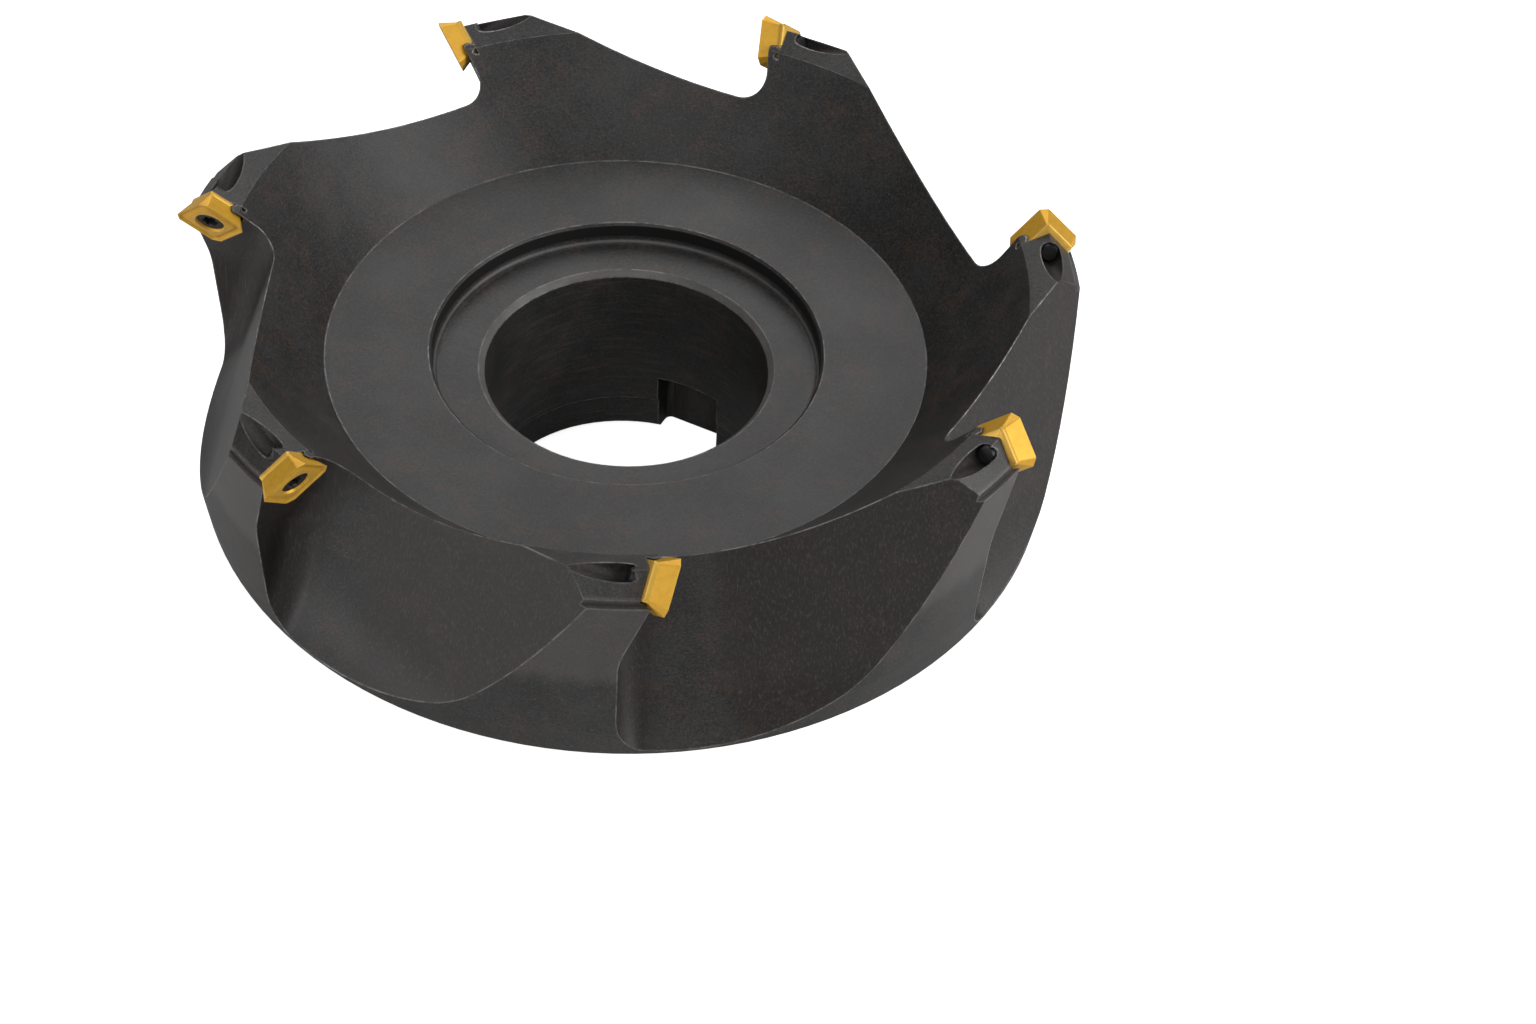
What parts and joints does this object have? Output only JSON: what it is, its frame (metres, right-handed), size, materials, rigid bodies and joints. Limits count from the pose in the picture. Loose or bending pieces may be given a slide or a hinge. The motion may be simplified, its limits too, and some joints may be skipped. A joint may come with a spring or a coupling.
{
  "type": "indexable face mill",
  "caption": "Shell-type 45 degree face mill: steel body with bore, drive slots and gullets, square screw-clamped inserts with countersunk screws.",
  "frame": {"origin": "centre of the bore on the back face that seats on the arbor", "axes": "+Z along the bore to the cutting side; +X and +Y across it, with the cutter's teeth turning counterclockwise seen from +Z"},
  "size_m": [0.1574, 0.1551, 0.063],
  "materials": {
    "blackened_steel": "black oxide on machined alloy steel, worn light along the edges",
    "coated_carbide": "satin gold nitride coating on sintered carbide",
    "screw_steel": "blackened hardened steel"
  },
  "bodies": {
    "root": {"cutter_body": "blackened_steel", "insert_1": "coated_carbide", "insert_2": "coated_carbide", "insert_3": "coated_carbide", "insert_4": "coated_carbide", "insert_5": "coated_carbide", "insert_6": "coated_carbide", "insert_7": "coated_carbide", "insert_screws": "screw_steel"}
  },
  "joints": []
}
